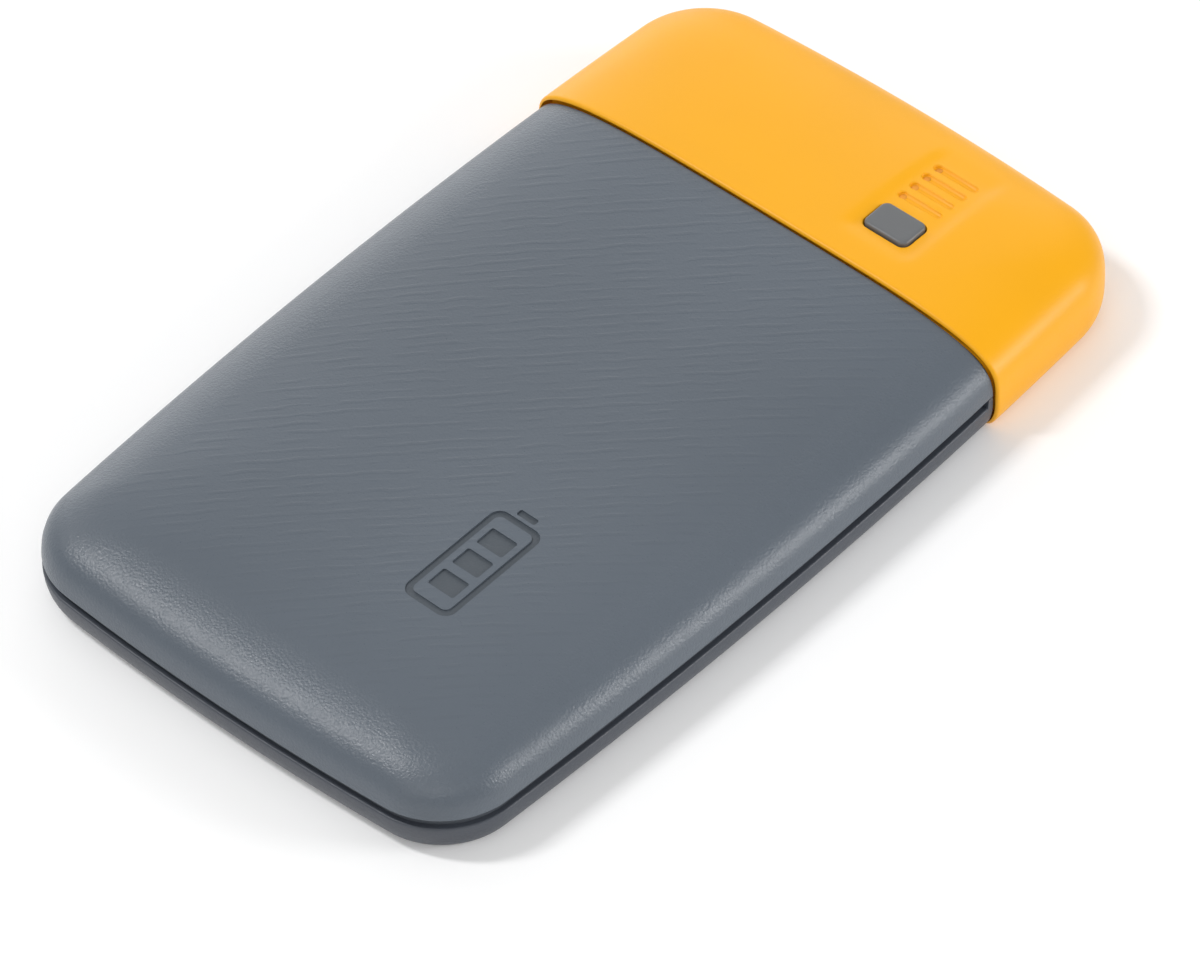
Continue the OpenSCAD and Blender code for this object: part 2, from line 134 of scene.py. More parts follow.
def end_curve():
    """Radius of a short end's bow."""
    return (HALF_W - CORNER_R) ** 2 / (2 * END_BOW)


def ring_radius(inset):
    """Plan corner radius at an inset: it shrinks like a true offset, then opens into a soft pillow."""
    if inset <= 0:
        return CORNER_R - inset
    opened = CORNER_R - inset + PILLOW * inset ** 2
    return min(CORNER_R, opened, CORNER_SHARE * (HALF_W - inset))


def quarter(inset, counts):
    """A quarter of the bowed outline, from the middle of the long side to the middle of the end."""
    n_side, n_corner, n_end = counts
    rad = ring_radius(inset)
    rx, ry = side_curve(), end_curve()
    sx, sy = HALF_W - inset - rad, HALF_L - inset - rad
    # Where the side's bow and the end's bow meet, found by repeated correction.
    cx, cy = sx, sy
    for _ in range(6):
        cx, cy = sx - cy * cy / (2 * rx), sy - cx * cx / (2 * ry)
    y = np.linspace(0, cy, n_side + 1)
    a = np.arctan(y / rx)
    side = np.c_[sx - y * y / (2 * rx) + rad * np.cos(a), y + rad * np.sin(a)]
    a1, a2 = math.atan(cy / rx), math.pi / 2 - math.atan(cx / ry)
    a = np.linspace(a1, a2, n_corner + 1)[1:]
    corner = np.c_[cx + rad * np.cos(a), cy + rad * np.sin(a)]
    x = np.linspace(cx, 0, n_end + 1)[1:]
    a = np.arctan(x / ry)
    end = np.c_[x + rad * np.sin(a), sy - x * x / (2 * ry) + rad * np.cos(a)]
    return np.r_[side, corner, end]


def outline(inset, counts):
    """The whole outline, counter-clockwise from the middle of the +X side."""
    q = quarter(inset, counts)
    loop = np.r_[q, (q * [-1, 1])[::-1][1:], (q * [-1, -1])[1:], (q * [1, -1])[::-1][1:-1]]
    return loop + [0, MID_Y]


def crown_z(inset):
    """Height of the dome at an inset from the outline."""
    u = np.clip(1 - np.asarray(inset) / CROWN_IN, 0, 1)
    return WAIST_Z + CROWN_H * (1 - u ** CROWN_POWER) ** (1 / CROWN_POWER)


def crown_inset(z):
    """Inset from the outline at a height of the dome."""
    v = np.clip((np.asarray(z) - WAIST_Z) / CROWN_H, 0, 1)
    return CROWN_IN * (1 - (1 - v ** CROWN_POWER) ** (1 / CROWN_POWER))


def spaced(curve, step):
    """Points along a curve, a step apart."""
    curve = np.asarray(curve)
    run = np.r_[0, np.cumsum(np.hypot(*np.diff(curve, axis=0).T))]
    want = np.linspace(0, run[-1], max(2, int(run[-1] / step)) + 1)
    return np.c_[np.interp(want, run, curve[:, 0]), np.interp(want, run, curve[:, 1])]


def crown_curve(from_z, step):
    """(inset, z) points up the dome, from a height to the plateau."""
    fine_points = 4000
    t = np.linspace(0, math.pi / 2, fine_points)
    inset = CROWN_IN * (1 - np.cos(t) ** (2 / CROWN_POWER))
    z = WAIST_Z + CROWN_H * np.sin(t) ** (2 / CROWN_POWER)
    keep = (z >= from_z) & (inset <= PLATEAU_IN)
    return spaced(np.c_[inset[keep], z[keep]], step)


def foot_curve(step):
    """(inset, z) points from the flat underside up the rounded lower edge."""
    fine_points = 400
    s = np.linspace(0, math.pi / 2, fine_points)
    return spaced(np.c_[FOOT_IN * (1 - np.sin(s)), FOOT_UP * (1 - np.cos(s))], step)


def smooth_step(t):
    """Soft rise from 0 to 1 as t goes from 0 to 1."""
    t = np.clip(t, 0, 1)
    return t * t * (3 - 2 * t)


def dish(x, y):
    """Depth of the soft hollow that holds the key and the light slots."""
    left = smooth_step((x - DISH_X[0]) / DISH_WALL)
    right = smooth_step((DISH_X[1] - x) / DISH_WALL)
    near = smooth_step((y - DISH_Y[0]) / DISH_WALL)
    far = smooth_step((DISH_Y[1] - y) / (2 * DISH_WALL))
    return DISH_DEEP * left * right * near * far


def cap_top(x, y):
    """Height of the cap's outer face over a place on the plan, hollow included."""
    side = HALF_W - np.abs(x)
    end = HALF_L - np.abs(y - MID_Y)
    return crown_z(np.minimum(side, end)) + CAP_PROUD - dish(x, y)


def cap_end(x, z):
    """Position along the case of the cap's end face."""
    bow = x ** 2 / (2 * end_curve())
    return MID_Y + HALF_L + CAP_PROUD - bow - crown_inset(z - CAP_PROUD)


# ---------------------------------------------------------------- mesh tools
def patch(loop, counts):
    """Grid of points that fills a closed outline, a blend of its four sides, and which of them lie on it."""
    n_side, n_corner, n_end = counts
    n = n_side + n_corner + n_end
    c = n_side + n_corner // 2
    total = 4 * n
    right = [j % total for j in range(-c, c + 1)]
    top = [j % total for j in range(c, 2 * n - c + 1)]
    left = [j % total for j in range(2 * n + c, 2 * n - c - 1, -1)]
    low = [j % total for j in range(total - c, 2 * n + c - 1, -1)]
    rows, cols = len(right), len(top)
    u = np.linspace(0, 1, cols)[None, :, None]
    v = np.linspace(0, 1, rows)[:, None, None]
    grid = (1 - u) * loop[right][:, None] + u * loop[left][:, None]
    grid = grid + (1 - v) * loop[low][None] + v * loop[top][None]
    grid -= (1 - u) * (1 - v) * loop[right[0]] + u * (1 - v) * loop[left[0]]
    grid -= (1 - u) * v * loop[right[-1]] + u * v * loop[left[-1]]
    edge = {}
    for i in range(rows):
        edge[(i, 0)], edge[(i, cols - 1)] = right[i], left[i]
    for k in range(cols):
        edge[(rows - 1, k)], edge[(0, k)] = top[k], low[k]
    return grid, edge


def ring_mesh(levels, counts):
    """Skin through outlines at (inset, z) levels, with its first and last outlines filled."""
    bm = bmesh.new()
    rings, loops = [], []
    for inset, z in levels:
        loop = np.c_[outline(inset, counts), np.full(4 * sum(counts), z)]
        loops.append(loop)
        rings.append([bm.verts.new(p) for p in loop])
    for a, b in zip(rings, rings[1:]):
        for j in range(len(a)):
            k = (j + 1) % len(a)
            bm.faces.new((a[j], a[k], b[k], b[j]))
    for ring, loop in ((rings[0], loops[0]), (rings[-1], loops[-1])):
        grid, edge = patch(loop, counts)
        rows, cols = grid.shape[:2]
        vert = [[ring[edge[(i, k)]] if (i, k) in edge else bm.verts.new(grid[i, k]) for k in range(cols)]
                for i in range(rows)]
        for i in range(rows - 1):
            for k in range(cols - 1):
                bm.faces.new((vert[i][k], vert[i][k + 1], vert[i + 1][k + 1], vert[i + 1][k]))
    bmesh.ops.recalc_face_normals(bm, faces=bm.faces)
    return bm


def cut(bm, y, keep_low=None):
    """Cuts the skin across at y, and drops one side of the cut if keep_low is given."""
    bmesh.ops.bisect_plane(
        bm, geom=bm.verts[:] + bm.edges[:] + bm.faces[:], dist=1e-6,
        plane_co=(0, y, 0), plane_no=(0, 1, 0),
        clear_outer=keep_low is True, clear_inner=keep_low is False)


def round_seam(bm, y, radius, towards):
    """Rounds the outer skin over at the open edge at y; towards is +1 if the edge faces +Y."""
    steps = 6
    for i in range(1, steps + 1):
        cut(bm, y - towards * radius * (1 - math.cos(math.pi / 2 * i / steps)))
    bm.normal_update()
    for v in bm.verts:
        gap = (y - v.co.y) * towards
        outward = v.normal.x * v.co.x + v.normal.z * (v.co.z - GROOVE_HIGH)
        if gap < radius and outward > 1:
            sink = radius - math.sqrt(max(radius ** 2 - (radius - gap) ** 2, 0))
            v.co -= Vector((v.normal.x, 0, v.normal.z)).normalized() * sink


def close_seam(bm):
    """Fills the open end that a cut has left."""
    rim = [e for e in bm.edges if e.is_boundary]
    bmesh.ops.triangle_fill(bm, edges=rim, use_beauty=True)
    bmesh.ops.recalc_face_normals(bm, faces=bm.faces)


def new_piece(name, bm):
    """Makes an object in metres out of a mesh in millimetres."""
    bmesh.ops.scale(bm, vec=(MM, MM, MM), verts=bm.verts)
    mesh = bpy.data.meshes.new(name)
    bm.to_mesh(mesh)
    bm.free()
    piece = bpy.data.objects.new(name, mesh)
    bpy.context.collection.objects.link(piece)
    return piece


def bake(piece):
    """Applies a piece's modifiers and shades it smooth up to a sharp angle."""
    sharp = 38
    graph = bpy.context.evaluated_depsgraph_get()
    mesh = bpy.data.meshes.new_from_object(piece.evaluated_get(graph))
    piece.modifiers.clear()
    piece.data = mesh
    mesh.polygons.foreach_set("use_smooth", [True] * len(mesh.polygons))
    mesh.set_sharp_from_angle(angle=math.radians(sharp))


def thicken(piece, wall):
    """Turns a skin into a closed wall, inwards."""
    mod = piece.modifiers.new("wall", "SOLIDIFY")
    mod.thickness, mod.offset = wall * MM, -1
    bake(piece)


def carve(piece, cutters):
    """Cuts closed shapes out of a piece and removes them."""
    for cutter in cutters:
        mod = piece.modifiers.new("carve", "BOOLEAN")
        mod.operation, mod.solver, mod.object = "DIFFERENCE", "MANIFOLD", cutter
    bake(piece)
    for cutter in cutters:
        bpy.data.objects.remove(cutter, do_unlink=True)


def rounded_loop(w, h, r, n=10):
    """Rounded rectangle round the origin, counter-clockwise, n points a corner."""
    points = []
    for qx, qy, a0 in ((1, 1, 0), (-1, 1, 90), (-1, -1, 180), (1, -1, 270)):
        for a in np.radians(np.linspace(a0, a0 + 90, n)):
            points.append((qx * (w / 2 - r) + r * math.cos(a), qy * (h / 2 - r) + r * math.sin(a)))
    return np.array(points)


def loft(name, rings):
    """Skin through rings of equal length, closed at both ends."""
    bm = bmesh.new()
    verts = [[bm.verts.new(p) for p in ring] for ring in rings]
    for a, b in zip(verts, verts[1:]):
        for j in range(len(a)):
            k = (j + 1) % len(a)
            bm.faces.new((a[j], a[k], b[k], b[j]))
    bm.faces.new(verts[0][::-1])
    bm.faces.new(verts[-1])
    bmesh.ops.recalc_face_normals(bm, faces=bm.faces)
    return new_piece(name, bm)


# How a cutter opens out to round the edge it leaves: (height over the face, growth).
EDGE_FLARE = ((CUT_ABOVE, 0.16), (0.0, 0.16), (-0.03, 0.08), (-0.09, 0.03), (-0.18, 0.0))


def top_cutter(name, x, y, w, h, r, below):
    """Upright cutter that follows the cap's top and rounds the edge it cuts; below lists (depth, growth)."""
    least_r = 0.02
    rings = []
    for over, grow in list(EDGE_FLARE) + [(-d, g) for d, g in below]:
        flat = rounded_loop(w + 2 * grow, h + 2 * grow, max(r + grow, least_r)) + [x, y]
        rings.append(np.c_[flat, cap_top(flat[:, 0], flat[:, 1]) + over])
    return loft(name, rings)


def end_cutter(name, x, z, w, h, r, depth):
    """Cutter along the case that follows the cap's end face and rounds the edge it cuts."""
    rings = []
    for over, grow in list(EDGE_FLARE) + [(-depth, 0.0)]:
        flat = rounded_loop(w + 2 * grow, h + 2 * grow, r + grow) + [x, z]
        rings.append(np.c_[flat[:, 0], cap_end(flat[:, 0], flat[:, 1]) + over, flat[:, 1]])
    return loft(name, rings)


# ---------------------------------------------------------------- pieces
# Points in a quarter of an outline: along the side, round the corner, along the end.
COVER_COUNTS = (44, 20, 22)
CAP_COUNTS = (84, 30, 42)


def lip(z, up):
    """(inset, z) points of a round rim out of the groove, with up as +1 where the wall rises from it."""
    turn = []
    for a in np.radians([0, 22, 45, 68, 90]):
        turn.append((LIP * (1 - math.sin(a)), z + up * LIP * (1 - math.cos(a))))
    return [(LIP_IN, z), (LIP + LIP_FLAT, z)] + turn


def mark_face(x):
    """Height of the dome that the battery sign is sunk into."""
    return crown_z(HALF_W - np.abs(x))


def sunk_block(name, y, w, h, r):
    """Cutter for one plain block of the sign, with its middle at y."""
    flat = rounded_loop(w, h, r, 6) + [MARK_X, y]
    z = mark_face(flat[:, 0])
    return loft(name, [np.c_[flat, z + CUT_ABOVE], np.c_[flat, z - MARK_DEEP]])


def sunk_outline(name):
    """Cutter for the sign's outline, a closed band."""
    inner_r = MARK_R - CORNER_EASE * MARK_LINE
    inner = rounded_loop(MARK_WIDE - 2 * MARK_LINE, MARK_LONG - 2 * MARK_LINE, inner_r) + [MARK_X, MARK_Y]
    outer = rounded_loop(MARK_WIDE, MARK_LONG, MARK_R) + [MARK_X, MARK_Y]
    bm = bmesh.new()
    verts = []
    for flat, over in ((outer, CUT_ABOVE), (inner, CUT_ABOVE), (inner, -MARK_DEEP), (outer, -MARK_DEEP)):
        verts.append([bm.verts.new(p) for p in np.c_[flat, mark_face(flat[:, 0]) + over]])
    for a, b in zip(verts, verts[1:] + verts[:1]):
        for j in range(len(a)):
            k = (j + 1) % len(a)
            bm.faces.new((a[j], a[k], b[k], b[j]))
    bmesh.ops.recalc_face_normals(bm, faces=bm.faces)
    return new_piece(name, bm)


def mark_cutters():
    """Plain battery sign: an outline with a nub and three bars."""
    nub_y = MARK_Y + MARK_LONG / 2 + NUB_AHEAD
    cutters = [sunk_outline("mark_outline"), sunk_block("mark_nub", nub_y, NUB_WIDE, NUB_LONG, NUB_R)]
    bar_wide = MARK_WIDE - 2 * MARK_LINE - 2 * BAR_CLEAR
    for i in (-1, 0, 1):
        y = MARK_Y + i * (BAR_LONG + BAR_GAP)
        cutters.append(sunk_block(f"mark_bar_{i}", y, bar_wide, BAR_LONG, BAR_R))
    return cutters


def engrave(piece):
    """Gives the sunk floor of the battery sign a darker copy of the cover plastic: painted shade in the
    recess.
    """
    facing_up = 0.9
    piece.data.materials.append(SIGN_PAINTED_SHADE)
    for face in piece.data.polygons:
        x, y, z = face.center / MM
        inside = abs(x - MARK_X) < MARK_WIDE / 2 and abs(y - MARK_Y - NUB_AHEAD) < MARK_LONG / 2 + NUB_AHEAD
        sunk = mark_face(x) - z
        if inside and face.normal.z > facing_up and MARK_DEEP / 2 < sunk < 2 * MARK_DEEP:
            face.material_index = 1


def make_top_cover():
    """Domed grey cover with a round rim at the groove, cut off at the seam."""
    wall, outer_step, inner_step, inner_clear = COVER_WALL, 1.15, 3.0, 0.3
    inner_curve = crown_curve(GROOVE_HIGH + wall + inner_clear, inner_step)
    inner = [(i + wall, z - wall) for i, z in inner_curve[::-1]]
    outer = [tuple(p) for p in crown_curve(GROOVE_HIGH + LIP + LIP_CLEAR, outer_step)]
    levels = inner + [(wall + LIP_CLEAR, GROOVE_HIGH)] + lip(GROOVE_HIGH, 1) + outer
    bm = ring_mesh(levels, COVER_COUNTS)
    edge = SEAM - SEAM_GAP
    cut(bm, edge, keep_low=True)
    round_seam(bm, edge, COVER_EDGE_R, 1)
    close_seam(bm)
    piece = new_piece("domed_cover", bm)
    carve(piece, mark_cutters())
    return piece


def close_groove(bm, stop):
    """Raises the rim beyond a place along the case, so that the groove ends there in a hairline."""
    rim_low = GROOVE_LOW - LIP - LIP_CLEAR
    rise = GROOVE_HIGH - GROOVE_LOW - STOP_HAIRLINE
    for v in bm.verts:
        near_rim = smooth_step((v.co.z - rim_low) / LIP)
        past_stop = smooth_step((v.co.y - stop + STOP_EASE) / (2 * STOP_EASE))
        v.co.z += rise * near_rim * past_stop


def make_bottom_cover():
    """Grey tray with a flat underside, and a stop that closes the groove at the cap."""
    wall, foot_step, inner_clear = COVER_WALL, 0.5, 0.5
    foot = [tuple(p) for p in foot_curve(foot_step)]
    inner = [(FOOT_IN + wall + d, wall) for d in UNDER_STEPS[::-1]]
    inner += [(i + wall, z + wall) for i, z in foot if z + wall < GROOVE_LOW - inner_clear]
    outer = [p for p in foot if p[1] < GROOVE_LOW - LIP - LIP_CLEAR][::-1]
    under = [(FOOT_IN + d, 0.0) for d in UNDER_STEPS]
    levels = inner + [(wall + LIP_CLEAR, GROOVE_LOW)] + lip(GROOVE_LOW, -1) + outer + under
    bm = ring_mesh(levels, COVER_COUNTS)
    edge = SEAM - SEAM_GAP
    cut(bm, edge, keep_low=True)
    stop = edge - GROOVE_STOP
    for step in (-0.12, -0.04, 0.04, 0.12):
        cut(bm, stop + step)
    round_seam(bm, edge, COVER_EDGE_R, 1)
    close_groove(bm, stop)
    close_seam(bm)
    piece = new_piece("lower_cover", bm)
    bake(piece)
    return piece


def cap_skin():
    """Outer skin of the cap, proud of the body, with the soft hollow pressed in."""
    crown_step, foot_step = 0.6, 0.5
    crown = [(i - CAP_PROUD, z + CAP_PROUD) for i, z in crown_curve(WAIST_Z, crown_step)]
    foot = [(i - CAP_PROUD, z) for i, z in foot_curve(foot_step)]
    under = [(FOOT_IN - CAP_PROUD + d, 0.0) for d in UNDER_STEPS]
    bm = ring_mesh(crown[::-1] + foot[::-1] + under, CAP_COUNTS)
    cut(bm, SEAM, keep_low=False)
    round_seam(bm, SEAM, CAP_EDGE_R, -1)
    for v in bm.verts:
        if v.co.z > WAIST_Z + CROWN_H / 2:
            v.co.z -= float(dish(v.co.x, v.co.y))
    return bm


def key_window():
    """Cutter for the key's window in the cap."""
    w, h, r = KEY_W + 2 * KEY_GAP, KEY_L + 2 * KEY_GAP, KEY_R + KEY_GAP
    return top_cutter("key_window", KEY_X, KEY_Y, w, h, r, [(CUT_THROUGH, 0.0)])


def port_windows():
    """Cutters for the windows round the port shells, the wide ones on both sides of the middle."""
    cutters = []
    for lo, hi, r in ((port_a_lo, port_a_hi, PORT_A_R), (port_c_lo, port_c_hi, PORT_C_R)):
        w, h = hi.x - lo.x + 2 * PORT_GAP, hi.z - lo.z + 2 * PORT_GAP
        x, z = (lo.x + hi.x) / 2, (lo.z + hi.z) / 2
        for place in sorted({x, -x}):
            cutters.append(end_cutter("port_window", place, z, w, h, r, CUT_THROUGH))
    return cutters


def light_slots():
    """Cutters for the round-bottomed slots, each with a stepped light hole at its left end."""
    cutters = []
    hole_x = KEY_X - SLOT_LEN / 2 + SLOT_W / 2
    step = (LIGHT_HOLE_D - LIGHT_CUP_D) / 2
    bottom = [(SLOT_DEEP * share, grow) for share, grow in SLOT_ROUND]
    cup = [(LIGHT_CUP_DEEP - LIGHT_CUP_EASE, 0.0), (LIGHT_CUP_DEEP, step), (CUT_THROUGH, step)]
    for i in range(SLOT_COUNT):
        y = SLOT_Y + i * SLOT_PITCH
        cutters.append(top_cutter("slot", KEY_X, y, SLOT_LEN, SLOT_W, SLOT_W / 2, bottom))
        cutters.append(top_cutter("light_hole", hole_x, y, LIGHT_CUP_D, LIGHT_CUP_D, LIGHT_CUP_D / 2, cup))
    return cutters


def make_end_cap():
    """Orange cap: a closed wall with windows for the key and the ports, and the light slots."""
    piece = new_piece("orange_cap", cap_skin())
    thicken(piece, CAP_WALL)
    carve(piece, [key_window()] + port_windows() + light_slots())
    return piece


def make_key():
    """Push key: retaining flange, straight sides and a softly rounded top."""
    top, corner_points, collar, collar_high = key_hi.z - KEY_SINK, 12, 0.02, 0.1
    rings = []

    def ring(w, h, r, z):
        flat = rounded_loop(w, h, r, corner_points) + [KEY_X, KEY_Y]
        rings.append(np.c_[flat, np.full(len(flat), z)])

    flange_w, flange_l = key_hi.x - key_lo.x, key_hi.y - key_lo.y
    flange_top = FLANGE_Z + FLANGE_T
    ring(flange_w, flange_l, KEY_R, FLANGE_Z)
    ring(flange_w, flange_l, KEY_R, flange_top)
    ring(KEY_W + collar, KEY_L + collar, KEY_R, flange_top)
    ring(KEY_W, KEY_L, KEY_R, flange_top + collar_high)
    ring(KEY_W, KEY_L, KEY_R, top - KEY_EASE)
    for a in np.radians(np.linspace(0, 90, 8)):
        inward = KEY_EASE * (1 - math.cos(a))
        rise = KEY_EASE * math.sin(a)
        ring(KEY_W - 2 * inward, KEY_L - 2 * inward, KEY_R - CORNER_EASE * inward, top - KEY_EASE + rise)
    flat_w, flat_l, flat_r = KEY_W - 2 * KEY_EASE, KEY_L - 2 * KEY_EASE, KEY_R - CORNER_EASE * KEY_EASE
    for share in (0.8, 0.5, 0.2):
        ring(flat_w * share, flat_l * share, flat_r * share, top)
    piece = loft("push_key", rings)
    bake(piece)
    return piece


def make_floor():
    """Wide floor just under the case."""
    half_size, below = 4000, 0.02
    bm = bmesh.new()
    bmesh.ops.create_grid(bm, x_segments=1, y_segments=1, size=half_size)
    bmesh.ops.translate(bm, verts=bm.verts, vec=(0, 0, -below))
    return new_piece("studio_floor", bm)


# ---------------------------------------------------------------- shader tools
def group(name, inputs, outputs):
    """New shader node group with named sockets: (name, kind, default)."""
    tree = bpy.data.node_groups.new(name, "ShaderNodeTree")
    for label, kind, value in inputs:
        socket = tree.interface.new_socket(label, in_out="INPUT", socket_type=kind)
        if value is not None:
            socket.default_value = value
    for label, kind in outputs:
        tree.interface.new_socket(label, in_out="OUTPUT", socket_type=kind)
    return tree, tree.nodes.new("NodeGroupInput"), tree.nodes.new("NodeGroupOutput")


FLOAT, VECTOR = "NodeSocketFloat", "NodeSocketVector"


def node(tree, kind, settings=None, **links):
    """Adds a node. Links gives a value or an output socket for each input, by name or by _number."""
    made = tree.nodes.new(kind)
    for key, value in (settings or {}).items():
        setattr(made, key, value)
    for key, value in links.items():
        socket = made.inputs[int(key[1:])] if key[0] == "_" else made.inputs[key.replace("_", " ")]
        if isinstance(value, bpy.types.NodeSocket):
            tree.links.new(value, socket)
        else:
            socket.default_value = value
    return made


def maths(tree, operation, a, b=0.0, clamp=False):
    """Result of one sum on values or sockets."""
    settings = {"operation": operation, "use_clamp": clamp}
    return node(tree, "ShaderNodeMath", settings, _0=a, _1=b).outputs[0]


def spread(tree, value, low, high, to_low, to_high):
    """Maps a value from one range to another, smoothly, and holds it at the ends."""
    made = node(tree, "ShaderNodeMapRange", {"interpolation_type": "SMOOTHSTEP"},
                Value=value, From_Min=low, From_Max=high, To_Min=to_low, To_Max=to_high)
    return made.outputs["Result"]


def noise(tree, where, scale, detail=2.0, rough=0.5):
    """Soft noise, about 0 to 1."""
    made = node(tree, "ShaderNodeTexNoise", None, Vector=where, Scale=scale, Detail=detail, Roughness=rough)
    return made.outputs["Fac"]


def moulded_grain():
    """Fine spark-eroded grain of a moulded face. Scale is in grains a metre; heights are in metres."""
    finer, pit_share, fine_share = 2.3, 0.6, 0.5
    tree, put, out = group("Moulded grain",
                           [("Place", VECTOR, None), ("Scale", FLOAT, 3000.0), ("Depth", FLOAT, 0.00001)],
                           [("Height", FLOAT), ("Mask", FLOAT)])
    place, scale = put.outputs["Place"], put.outputs["Scale"]
    pits = node(tree, "ShaderNodeTexVoronoi", {"feature": "SMOOTH_F1"},
                Vector=place, Scale=scale, Smoothness=0.6).outputs["Distance"]
    fine = noise(tree, place, maths(tree, "MULTIPLY", scale, finer), 3.0, 0.6)
    pitted = maths(tree, "MULTIPLY", pits, pit_share)
    mixed = maths(tree, "ADD", pitted, maths(tree, "MULTIPLY", fine, fine_share))
    tree.links.new(maths(tree, "MULTIPLY", mixed, put.outputs["Depth"]), out.inputs["Height"])
    tree.links.new(mixed, out.inputs["Mask"])
    return tree


def slow_drift():
    """Slow change over a face, for its colour and its gloss: 0 to 1."""
    tree, put, out = group("Slow drift",
                           [("Place", VECTOR, None), ("Scale", FLOAT, 25.0)],
                           [("Drift", FLOAT)])
    wide = noise(tree, put.outputs["Place"], put.outputs["Scale"], 3.0, 0.55)
    tree.links.new(spread(tree, wide, 0.3, 0.7, 0.0, 1.0), out.inputs["Drift"])
    return tree


def dust_specks():
    """Sparse specks of dust. Scale is in cells a metre, Size in parts of a cell."""
    empty_cells = 0.86
    tree, put, out = group("Dust specks",
                           [("Place", VECTOR, None), ("Scale", FLOAT, 160.0), ("Size", FLOAT, 0.03)],
                           [("Specks", FLOAT)])
    cells = node(tree, "ShaderNodeTexVoronoi", {"feature": "F1"},
                 Vector=put.outputs["Place"], Scale=put.outputs["Scale"], Randomness=1.0)
    chance = node(tree, "ShaderNodeSeparateColor", None, Color=cells.outputs["Color"]).outputs[0]
    rare = maths(tree, "GREATER_THAN", chance, empty_cells)
    near = maths(tree, "LESS_THAN", cells.outputs["Distance"], put.outputs["Size"])
    tree.links.new(maths(tree, "MULTIPLY", rare, near), out.inputs["Specks"])
    return tree


def diagonal_ribs():
    """Fine wavy ribs at 45 degrees, which fade out near the long sides and one end. All in metres."""
    stretch, bend_scale, bend_by, break_scale = 0.3, 230.0, 0.0007, 620.0
    side_fade, end_fade = 0.006, 0.007
    tree, put, out = group("Diagonal ribs",
                           [("Place", VECTOR, None), ("Pitch", FLOAT, 0.00154), ("Depth", FLOAT, 0.00002),
                            ("Clear Side", FLOAT, 0.027), ("Clear End", FLOAT, -0.052)],
                           [("Height", FLOAT), ("Mask", FLOAT), ("Field", FLOAT)])
    place = put.outputs["Place"]
    parts = node(tree, "ShaderNodeSeparateXYZ", None, Vector=place)
    x, y = parts.outputs["X"], parts.outputs["Y"]
    across = maths(tree, "MULTIPLY", maths(tree, "SUBTRACT", y, x), math.sqrt(0.5))
    along = maths(tree, "MULTIPLY", maths(tree, "ADD", y, x), math.sqrt(0.5))
    # Noise bends the ribs, and noise drawn out along them breaks them up.
    bend = maths(tree, "SUBTRACT", noise(tree, place, bend_scale, 1.0), 0.5)
    bent = maths(tree, "ADD", across, maths(tree, "MULTIPLY", bend, bend_by))
    turns = maths(tree, "DIVIDE", bent, put.outputs["Pitch"])
    wave = maths(tree, "SINE", maths(tree, "MULTIPLY", turns, 2 * math.pi))
    ridge = spread(tree, wave, -0.1, 1.0, 0.0, 1.0)
    run = maths(tree, "MULTIPLY", along, stretch)
    lay = node(tree, "ShaderNodeCombineXYZ", None, X=across, Y=run).outputs[0]
    broken = spread(tree, noise(tree, lay, break_scale, 1.0), 0.36, 0.62, 0.0, 1.0)
    side_from, end_from = put.outputs["Clear Side"], put.outputs["Clear End"]
    side_to, end_to = maths(tree, "ADD", side_from, side_fade), maths(tree, "ADD", end_from, end_fade)
    side = spread(tree, maths(tree, "ABSOLUTE", x), side_from, side_to, 1.0, 0.0)
    end = spread(tree, y, end_from, end_to, 0.0, 1.0)
    field = maths(tree, "MULTIPLY", side, end)
    shown = maths(tree, "MULTIPLY", maths(tree, "MULTIPLY", ridge, broken), field)
    tree.links.new(field, out.inputs["Field"])
    tree.links.new(maths(tree, "MULTIPLY", shown, put.outputs["Depth"]), out.inputs["Height"])
    tree.links.new(shown, out.inputs["Mask"])
    return tree


GRAIN, DRIFT, DUST, RIBS = moulded_grain(), slow_drift(), dust_specks(), diagonal_ribs()


def use(tree, effect, **values):
    """Places an effect group in a material with its own values."""
    made = tree.nodes.new("ShaderNodeGroup")
    made.node_tree = effect
    for key, value in values.items():
        socket = made.inputs[key.replace("_", " ")]
        if isinstance(value, bpy.types.NodeSocket):
            tree.links.new(value, socket)
        else:
            socket.default_value = value
    return made


def blend_colour(tree, share, a, b):
    """Colour a turning into colour b as share goes from 0 to 1."""
    made = node(tree, "ShaderNodeMix", {"data_type": "RGBA"})
    for index, value in ((0, share), (6, a), (7, b)):
        if isinstance(value, bpy.types.NodeSocket):
            tree.links.new(value, made.inputs[index])
        else:
            made.inputs[index].default_value = value
    return made.outputs[2]


def start(name):
    """New material: its node tree, its shader and the place on the object."""
    made = bpy.data.materials.new(name)
    made.use_nodes = True
    tree = made.node_tree
    return made, tree, tree.nodes["Principled BSDF"], tree.nodes.new("ShaderNodeTexCoord").outputs["Object"]


def rgb(colour, share=1.0):
    """Colour with its alpha, made darker or lighter by a share."""
    return tuple(c * share for c in colour) + (1.0,)


def bumped(tree, shader, height):
    """Turns heights in metres into bumps on a shader."""
    bump = node(tree, "ShaderNodeBump", None, Strength=1.0, Distance=1.0, Height=height)
    tree.links.new(bump.outputs["Normal"], shader.inputs["Normal"])


